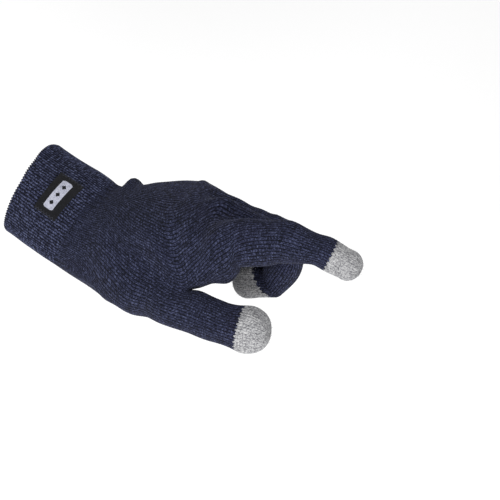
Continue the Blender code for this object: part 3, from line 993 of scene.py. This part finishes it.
# The fourth number of each is how strongly painted shade darkens the grooves; the cuff's ribs get the most.
NAVY = knit_material("navy_knit", NAVY_STOPS, 0.58, 0.54, -0.11, (4.0, 2.5))
CUFF_NAVY = knit_material("cuff_knit", NAVY_STOPS, 0.64, 0.76, -0.23, (4.0, 2.5), CUFF_RIB, (2.0, 2.5))
GREY = knit_material("grey_knit", GREY_STOPS, 0.64, 0.16, 0.21, (4.0, 3.0))


# --- pieces ---

def finished(name, mesh, marks, material):
    """The piece made of a mesh, with its stitch coordinates by face corner."""
    stitch = mesh.attributes.new("stitch", "FLOAT_VECTOR", "CORNER")
    stitch.data.foreach_set("vector", marks.astype(np.float32).ravel())
    mesh.shade_smooth()
    mesh.materials.append(material)
    piece = add_object(name, mesh)
    return piece


def add_skin(name, grid_name, chosen, material=NAVY, slot="navy_knit"):
    """A piece of one region's faces. chosen is a mask of faces by row and column."""
    points = FINAL[grid_name]
    grid = GRIDS[grid_name]
    columns = points.shape[1] - 1
    number = np.arange(points.shape[0])[:, None] * columns + np.arange(columns + 1)[None, :] % columns
    quads = np.stack([number[:-1, :-1], number[1:, :-1], number[1:, 1:], number[:-1, 1:]], -1)
    picked = chosen.nonzero()
    quads = quads[picked]
    used = np.unique(quads)
    renumber = np.full(number.max() + 1, -1)
    renumber[used] = np.arange(used.size)
    co = points[:, :-1].reshape(-1, 3)[used] * MM
    normals = NORMALS[grid_name][:, :-1].reshape(-1, 3)[used]
    mesh = bpy.data.meshes.new(name)
    mesh.vertices.add(used.size)
    mesh.vertices.foreach_set("co", co.astype(np.float32).ravel())
    mesh.loops.add(quads.size)
    mesh.loops.foreach_set("vertex_index", renumber[quads].astype(np.int32).ravel())
    mesh.polygons.add(len(quads))
    mesh.polygons.foreach_set("loop_start", (np.arange(len(quads)) * 4).astype(np.int32))
    mesh.update(calc_edges=True)
    r, c = picked
    wale = grid["wale"]
    u = np.stack([wale[c], wale[c], wale[c + 1], wale[c + 1]], 1)
    v = grid["course"]
    v = np.stack([v[r], v[r + 1], v[r + 1], v[r]], 1)
    piece = finished(name, mesh, np.stack([u, v, np.zeros_like(u)], -1), material)
    mesh.normals_split_custom_set_from_vertices(normals.tolist())
    return piece


def mesh_row(grid_name, cage_row):
    return int(np.argmin(np.abs(GRIDS[grid_name]["rows"] - cage_row)))


def rows_mask(grid_name, low, high=None):
    """The faces between two rows of the cage, or from one to the region's end."""
    points = FINAL[grid_name]
    mask = np.zeros((points.shape[0] - 1, points.shape[1] - 1), bool)
    mask[mesh_row(grid_name, low):mesh_row(grid_name, len(regions[grid_name]) - 1 if high is None else high)] = True
    return mask


def hang(piece, a, b, start, end, node):
    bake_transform(piece)
    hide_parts(node)


EDGE_ROWS = (3.5, 6.6)  # cage rows of the overlocked edge
CUFF_END = 12.8  # and of the last of the ribs
WRIST_BLEND = (place("wrist") - np.array((15.0, 0, 0)), place("wrist") + HAND[:3, 0] * 18.0)

for name, region, rows, looks, node in (
        ("cuff_edge_yarn", "arm", EDGE_ROWS, (CUFF_NAVY, "edge_yarn"), "cuff_edge"),
        ("cuff_lining", "arm", (0, EDGE_ROWS[0]), (CUFF_NAVY, "cuff_knit"), "cuff_rib"),
        ("cuff_knit", "arm", (EDGE_ROWS[1], CUFF_END), (CUFF_NAVY, "cuff_knit"), "cuff_rib"),
        ("palm_knit", "arm", (CUFF_END,), (), "palm"),
        ("knuckle_knit", "hand", (0,), (), "palm")):
    hang(add_skin(name, region, rows_mask(region, *rows), *looks), "cuff", "palm", *WRIST_BLEND, node)


def cap_mask(name):
    """Faces of a fingertip's grey end; its border steps by one stitch from column to column."""
    grid, points = GRIDS[name], FINAL[name]
    ring = points[int(points.shape[0] * 0.75), :-1] @ SIDEWAYS
    side = 2 * (ring - ring.min()) / (ring.max() - ring.min()) - 1
    courses = grid["course"][-1] - (CAPS[name] - CAP_SLANT.get(name, 0.0) * side) / COURSE
    wale = (grid["wale"][:-1] + grid["wale"][1:]) / 2
    step = np.round(courses) + np.abs((wale % 1.0) - 0.5) * 1.2 + 0.4 * (np.floor(wale) % 2)
    middle = (grid["course"][:-1] + grid["course"][1:]) / 2
    return middle[:, None] > step[None, :]


def hang_tip(piece, name):
    """Fixes a piece in place and hides the part of the finger's or the thumb's tip."""
    if name == "thumb":
        hang(piece, "thumb_root", "thumb_tip", IP - TD1 * 9, IP + TD2 * 7, "thumb_tip")
    else:
        e, (_, d2, d3) = FRAMES[name]["e"], FRAMES[name]["d"]
        hang(piece, f"{name}_middle", f"{name}_tip", e - d2 * 6.5, e + d3 * 6.5, f"{name}_tip")


def add_end(name, first):
    """The knit from a cage row to the fingertip, with its grey cap."""
    rest = rows_mask(name, first)
    grey = rest & cap_mask(name) if name in CAPS else np.zeros_like(rest)
    hang_tip(add_skin(f"{name}_end", name, rest & ~grey), name)
    if name in CAPS:
        hang_tip(add_skin(f"{name}_cap", name, grey, GREY, "grey_knit"), name)


def dress_finger(name):
    f, own = FRAMES[name], FINGERS[name]
    d1, d2, _ = f["d"]
    first = own["base_rows"]
    second = len(own["root_rings"]) + own["bend_rings"] + 0.5
    base = add_skin(f"{name}_base", name, rows_mask(name, 0, first))
    hang(base, "palm", f"{name}_root", f["k"] + d1 * 15, f["k"] + d1 * own["base_blend"], f"{name}_root")
    joint = add_skin(f"{name}_bend", name, rows_mask(name, first, second))
    size = own["bend_blend"]
    hang(joint, f"{name}_root", f"{name}_middle", f["p"] - d1 * size, f["p"] + d2 * size, f"{name}_middle")
    add_end(name, second)


THUMB_BASE_ROWS = 2.5


def dress_thumb():
    base = add_skin("thumb_base", "thumb", rows_mask("thumb", 0, THUMB_BASE_ROWS))
    hang(base, "palm", "thumb_root", MCP + TD1 * 6, MCP + TD1 * 22, "thumb_root")
    add_end("thumb", THUMB_BASE_ROWS)


for name in FINGERS:
    dress_finger(name)
dress_thumb()


# --- label ---

LABEL_MIDDLE = 27.0  # from the opening
LABEL_AROUND = math.radians(104.4)
LABEL_HALF = (8.5, 14.0)  # along the cuff, round it
LABEL_LIFT = 0.45  # its underside above the smooth surface
LABEL_THICK = 0.55
LABEL_EDGE = 0.5  # its rounded edge
LABEL_GRID = 0.5
MOTIF_HALF = (3.7, 10.0)
MOTIF_ROUND = 1.6  # radius of its corners
MOTIF_STEP = 0.36
MOTIF_HOLES = (-5.8, 0.0, 5.8)
MOTIF_HOLE = 1.75
MOTIF_SUNK, MOTIF_PROUD = 0.1, 0.1
STITCHES = 13  # in each row, so far either side of the middle, from the label's edge, and wide
STITCH_ROW, STITCH_INSET, STITCH_WIDTH = 7.4, 0.9, 0.75
STITCH_JITTER = 0.1
THREAD_RADIUS = 0.2


def label_angles():
    """Angle round the cuff from the distance round it, measured from the label's middle."""
    angles = LABEL_AROUND + np.linspace(-0.8, 0.8, 801)
    length = lengths([cuff_point(LABEL_MIDDLE, a) for a in angles])
    return lambda t: float(np.interp(t, length - length[400], angles))


LABEL_ANGLE = label_angles()


def label_point(along, across, lift):
    """A point of the label: along the cuff, round it towards the thumb, and above its underside."""
    angle = LABEL_ANGLE(across)
    p = cuff_point(LABEL_MIDDLE + along, angle)
    n = unit(np.array((0.0, math.cos(angle) / CUFF_HALF[0], math.sin(angle) / CUFF_HALF[1])))
    wave = float(unevenness(p)) + 0.07 * math.sin(along * 1.1 + across * 0.5)
    return p + n * (LABEL_LIFT + wave + lift)


def slab(name, along, across, inside, low, high, material):
    """A thin solid on the label's surface from the cells of a grid for which inside(along, across) is true."""
    rows, columns = len(along) - 1, len(across) - 1
    kept = np.array([[inside((along[i] + along[i + 1]) / 2, (across[j] + across[j + 1]) / 2)
                      for j in range(columns)] for i in range(rows)])
    points, index, faces, marks = [], {}, [], []

    def corner(i, j, top):
        if (i, j, top) not in index:
            index[(i, j, top)] = len(points)
            points.append(label_point(along[i], across[j], high(along[i], across[j]) if top else low) * MM)
            marks.append((along[i], across[j], 0.0))
        return index[(i, j, top)]

    for i, j in zip(*kept.nonzero()):
        around = [(i, j), (i, j + 1), (i + 1, j + 1), (i + 1, j)]
        faces.append([corner(*p, 1) for p in around])
        faces.append([corner(*p, 0) for p in around[::-1]])
        for k, (di, dj) in enumerate(((-1, 0), (0, 1), (1, 0), (0, -1))):
            if not (0 <= i + di < rows and 0 <= j + dj < columns and kept[i + di, j + dj]):
                a, b = around[k], around[(k + 1) % 4]
                faces.append([corner(*b, 1), corner(*a, 1), corner(*a, 0), corner(*b, 0)])
    return plain_piece(name, points, faces, marks, material)


SHARP_FROM = math.radians(50)


def plain_piece(name, points, faces, marks, material):
    mesh = bpy.data.meshes.new(name)
    mesh.from_pydata([tuple(p) for p in points], [], faces)
    at = np.zeros(len(mesh.loops), np.int32)
    mesh.loops.foreach_get("vertex_index", at)
    piece = finished(name, mesh, np.array(marks)[at], material)
    mesh.set_sharp_from_angle(angle=SHARP_FROM)
    return piece


def stepped(half, step, edge):
    """Grid lines from -half to half with close ones at the ends, for a rounded edge."""
    middle = np.linspace(-half + edge, half - edge, int(round(2 * (half - edge) / step)) + 1)
    close = edge * np.array([1.0, 0.75, 0.4])
    return np.concatenate([-half + (edge - close), middle, half - (edge - close)[::-1]])


def label_top(along, across):
    near = min(1.0, min(LABEL_HALF[0] - abs(along), LABEL_HALF[1] - abs(across)) / LABEL_EDGE)
    return LABEL_THICK * (0.45 + 0.55 * math.sqrt(max(0.0, 1 - (1 - near) ** 2)))


def in_motif(along, across):
    """A bar with rounded ends and a row of diamond holes."""
    past = [max(0.0, abs(at) - (half - MOTIF_ROUND)) for at, half in zip((along, across), MOTIF_HALF)]
    if math.hypot(*past) > MOTIF_ROUND:
        return False
    return min(abs(along) + abs(across - hole) for hole in MOTIF_HOLES) > MOTIF_HOLE


def tube(path, radius, sides, points, faces, marks, taper=1.0):
    """Adds a thin closed tube along a path to the lists."""
    path = [np.array(p, float) for p in path]
    first = len(points)
    side = None
    run = 0.0
    for i, p in enumerate(path):
        way = unit(path[min(i + 1, len(path) - 1)] - path[max(i - 1, 0)])
        if side is None:
            side = unit(np.cross(way, (0.3, 0.5, 0.8)))
        side = unit(side - way * (side @ way))
        other = np.cross(way, side)
        run += np.linalg.norm(p - path[i - 1]) if i else 0.0
        r = radius * mix(1.0, taper, i / (len(path) - 1))
        for k in range(sides):
            a = 2 * math.pi * k / sides
            points.append((p + (side * math.cos(a) + other * math.sin(a)) * r) * MM)
            marks.append((run, k / sides, 0.0))
    for i in range(len(path) - 1):
        for k in range(sides):
            a, b = first + i * sides + k, first + i * sides + (k + 1) % sides
            faces.append([a, b, b + sides, a + sides])
    faces.append([first + k for k in range(sides)][::-1])
    last = first + (len(path) - 1) * sides
    faces.append([last + k for k in range(sides)])


def woven_material(name, stops, pitch):
    """Close satin weave: fine warp lines crossed by picks, with painted uneven light and a painted highlight on the
    raised warp.
    """
    n = Nodes(name, 0.72, 0.05)
    u, v = n.stitch()
    warp = abs((v * (math.pi / pitch)).sine())
    shift = (v / pitch).floor() * 0.4
    pick = abs((u * (math.pi / (pitch * 2.2)) + shift).sine())
    height = warp * (pick * 0.5 + 0.5)
    each = n.random(n.vector((v / pitch).floor(), (u / 0.8).floor()))
    # Painted light: the raised warp is lightened by its height as a painted highlight, and the slow noise paints uneven
    # light; the picks' random tone is the cloth's own.
    n.colour(height * 0.6 + each * 0.3 + (n.noise(n.vector(u, v), 0.35) - 0.5) * 0.5, stops)
    n.bump(height, 0.4, 0.0002)
    return n.material


def thread_material(name, stops):
    """Twisted sewing thread, with a painted highlight on the crests of its twist."""
    n = Nodes(name, 0.6, 0.1)
    u, v = n.stitch()
    height = ((u / 0.5 + v * 2.0).fract() * math.pi).sine()
    # The crests of the twist are lightened as a painted highlight.
    n.colour(height * 0.7 + n.noise(n.vector(u, v), 3.0) * 0.3, stops)
    n.bump(height, 0.5, 0.0002)
    return n.material


BLACK_STOPS = ((0.1, (6, 6, 8)), (0.6, (17, 17, 21)), (1.0, (34, 34, 39)))
WHITE_STOPS = ((0.0, (100, 102, 118)), (0.5, (160, 162, 176)), (1.0, (196, 197, 207)))
THREAD_STOPS = ((0.0, (10, 10, 14)), (0.6, (30, 31, 40)), (1.0, (52, 53, 66)))


def add_label():
    black = woven_material("label_cloth", BLACK_STOPS, 0.3)
    white = woven_material("label_motif", WHITE_STOPS, 0.36)
    thread = thread_material("stitch_thread", THREAD_STOPS)
    along, across = (stepped(half, LABEL_GRID, LABEL_EDGE) for half in LABEL_HALF)
    label = slab("label_cloth", along, across, lambda s, t: True, 0.0, label_top, black)
    along, across = (np.arange(-count, count + 1) * MOTIF_STEP for count in (11, 29))
    motif = slab("label_motif", along, across, in_motif, LABEL_THICK - MOTIF_SUNK,
                 lambda s, t: LABEL_THICK + MOTIF_PROUD, white)
    pieces = [(label, "label"), (motif, "label_motif")]
    rng = np.random.default_rng(11)
    jitter = lambda: rng.uniform(-STITCH_JITTER, STITCH_JITTER)
    for end, node in ((1, "label_stitch_thumb_side"), (-1, "label_stitch_little_side")):
        points, faces, marks = [], [], []
        corners = [(mix(-STITCH_ROW, STITCH_ROW, i / STITCHES) + jitter(),
                    end * (LABEL_HALF[1] - STITCH_INSET) + (STITCH_WIDTH if i % 2 else -STITCH_WIDTH) + jitter())
                   for i in range(STITCHES + 1)]
        for a, b in zip(corners, corners[1:]):
            path = [label_point(mix(a[0], b[0], t), mix(a[1], b[1], t),
                                LABEL_THICK - 0.16 + 0.36 * math.sin(math.pi * t) ** 0.5)
                    for t in np.linspace(0.0, 1.0, 7)]
            tube(path, THREAD_RADIUS, 8, points, faces, marks)
        pieces.append((plain_piece(node, points, faces, marks, thread), node))
    for piece, node in pieces:
        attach(piece, "cuff")
        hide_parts(node)


add_label()


# --- loose fibres ---

FUZZ_LENGTH, FUZZ_RADIUS = 1.35, 0.055
FUZZ_INSET = 2  # from the cap's border


def fuzz(name, count, seed, material):
    """Short loose fibres that stand off a grey fingertip."""
    rng = np.random.default_rng(seed)
    points, normals, course = FINAL[name], NORMALS[name], GRIDS[name]["course"]
    low = int(np.searchsorted(course, course[-1] - (CAPS[name] - FUZZ_INSET) / COURSE))
    high = len(course) - 2
    out, faces, marks = [], [], []
    for _ in range(count):
        r, c = int(rng.integers(low, high)), int(rng.integers(0, points.shape[1] - 1))
        p, n = points[r, c], normals[r, c]
        way = unit(n * rng.uniform(0.5, 1.2) + rng.normal(size=3) * 0.55)
        curl = rng.normal(size=3) * 0.5
        reach = FUZZ_LENGTH * rng.uniform(0.4, 1.0)
        path = [p - n * 0.1 + (way * t + curl * t * t) * reach for t in (0.0, 0.35, 0.7, 1.0)]
        tube(path, FUZZ_RADIUS, 3, out, faces, marks, 0.5)
    return plain_piece(f"{name}_cap_fuzz", out, faces, marks, material)


def add_fuzz():
    n = Nodes("grey_fibre", 0.9)
    n.colour(n.noise(n.vector(*n.stitch()), 2.0), ((0.3, (150, 150, 152)), (0.7, (205, 205, 206))))
    for name, count, seed in (("index", 320, 21), ("middle", 320, 22), ("thumb", 380, 29)):
        hang_tip(fuzz(name, count, seed, n.material), name)


add_fuzz()


# --- camera, light and floor ---

LENS, SENSOR = 108.0, 36.0
FLOOR_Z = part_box("cuff_edge")[0].z - 0.2  # the glove is worn on a raised hand
FLOOR_HALF, FLOOR_PALE, SKY = 40.0, 0.9, 0.78
# Name, place in metres and watts. Both discs point at the hand.
LIGHTS = (("key", (-0.15, 0.15, 1.0), 3.2), ("fill", (0.6, -0.8, 0.35), 10))
LIGHT_SIZE, LIT_AT = 0.6, (0.1, 0.01, 0.02)


def add_camera():
    data = bpy.data.cameras.new("camera")
    data.lens, data.sensor_width = LENS, SENSOR
    data.clip_start, data.clip_end = 0.01, 20.0
    camera = add_object("camera", data)
    turn = Matrix(camera_axes()).transposed().to_4x4()
    camera.matrix_world = Matrix.Translation(CAMERA_AT) @ turn
    bpy.context.scene.camera = camera


def add_light(name, at, watts):
    data = bpy.data.lights.new(name, "AREA")
    data.shape, data.size, data.energy = "DISK", LIGHT_SIZE, watts
    light = add_object(name, data)
    way = Vector(LIT_AT) - Vector(at)
    light.matrix_world = Matrix.Translation(at) @ way.to_track_quat("-Z", "Y").to_matrix().to_4x4()


def add_stage():
    mesh = bpy.data.meshes.new("floor")
    corners = [(x * FLOOR_HALF, y * FLOOR_HALF, FLOOR_Z) for x, y in ((-1, -1), (1, -1), (1, 1), (-1, 1))]
    mesh.from_pydata(corners, [], [(0, 1, 2, 3)])
    material = bpy.data.materials.new("floor")
    material.use_nodes = True
    shader = material.node_tree.nodes["Principled BSDF"]
    shader.inputs["Base Color"].default_value = (FLOOR_PALE, FLOOR_PALE, FLOOR_PALE, 1)
    shader.inputs["Roughness"].default_value = 0.9
    mesh.materials.append(material)
    add_object("floor", mesh)
    world = bpy.data.worlds.new("studio")
    world.use_nodes = True
    background = world.node_tree.nodes["Background"]
    background.inputs["Color"].default_value = (1, 1, 1, 1)
    background.inputs["Strength"].default_value = SKY
    bpy.context.scene.world = world
    for light in LIGHTS:
        add_light(*light)
    bpy.context.scene.view_settings.view_transform = "Standard"


add_camera()
add_stage()
